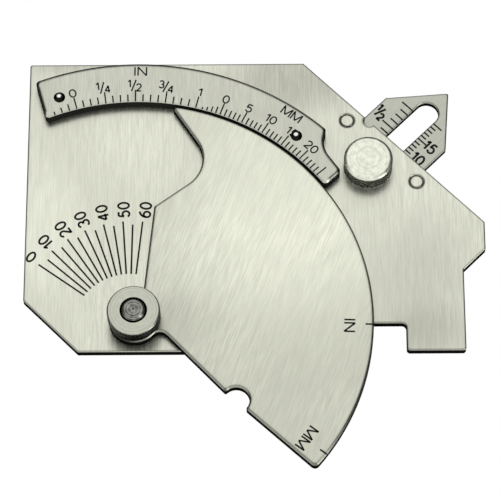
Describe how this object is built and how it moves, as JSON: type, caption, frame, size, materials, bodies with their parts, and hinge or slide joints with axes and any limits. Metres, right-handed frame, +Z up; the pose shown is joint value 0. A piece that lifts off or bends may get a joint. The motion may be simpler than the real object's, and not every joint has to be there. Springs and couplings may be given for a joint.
{
  "type": "weld gauge",
  "caption": "Flat steel weld gauge: bridge plate on two feet, swinging measuring cam with clamp nut, curved scale and a sliding throat blade with lock screw.",
  "frame": {"origin": "middle of the gauge's bounding box at its lowest level, with the gauge lying on its back", "axes": "+X along the feet towards the nose, +Y away from the feet towards the curved scale, +Z up out of the front face"},
  "size_m": [0.1, 0.0958, 0.0128],
  "materials": {
    "plate_steel": "brushed up and down",
    "cam_steel": "brushed at a slant",
    "scale_steel": "satin, engraved and filled",
    "blade_steel": "satin, engraved and filled",
    "knurled_steel": "turned faces, knurled rim",
    "turned_steel": "turned",
    "pin_steel": "polished dome",
    "strap_steel": "satin"
  },
  "bodies": {
    "plate": {"main_plate": "plate_steel", "arc_scale": "scale_steel", "arc_pin_left": "pin_steel", "arc_pin_right": "pin_steel", "pivot_screw": "turned_steel", "back_strap": "strap_steel", "guide_rivet_upper": "plate_steel", "guide_rivet_lower": "plate_steel"},
    "cam": {"cam": "cam_steel"},
    "blade": {"throat_blade": "blade_steel"},
    "nut": {"clamp_nut": "knurled_steel", "pivot_washer": "turned_steel"},
    "lock": {"lock_screw": "knurled_steel"}
  },
  "joints": [
    {"name": "cam_swing", "type": "hinge", "parent": "plate", "child": "cam", "pos_m": [-0.0259, -0.01433, 0.0055], "axis": [0, 0, 1], "continuous": true},
    {"name": "blade_slide", "type": "slide", "parent": "plate", "child": "blade", "axis": [0.7071, 0.7071, 0], "range_m": [-0.0184, 0.0094]},
    {"name": "nut_turn", "type": "hinge", "parent": "plate", "child": "nut", "pos_m": [-0.0259, -0.01433, 0.0081], "axis": [0, 0, 1], "range_deg": [0, 180]},
    {"name": "lock_turn", "type": "hinge", "parent": "plate", "child": "lock", "pos_m": [0.02483, 0.02226, 0.00545], "axis": [0, 0, 1], "range_deg": [0, 180]}
  ]
}
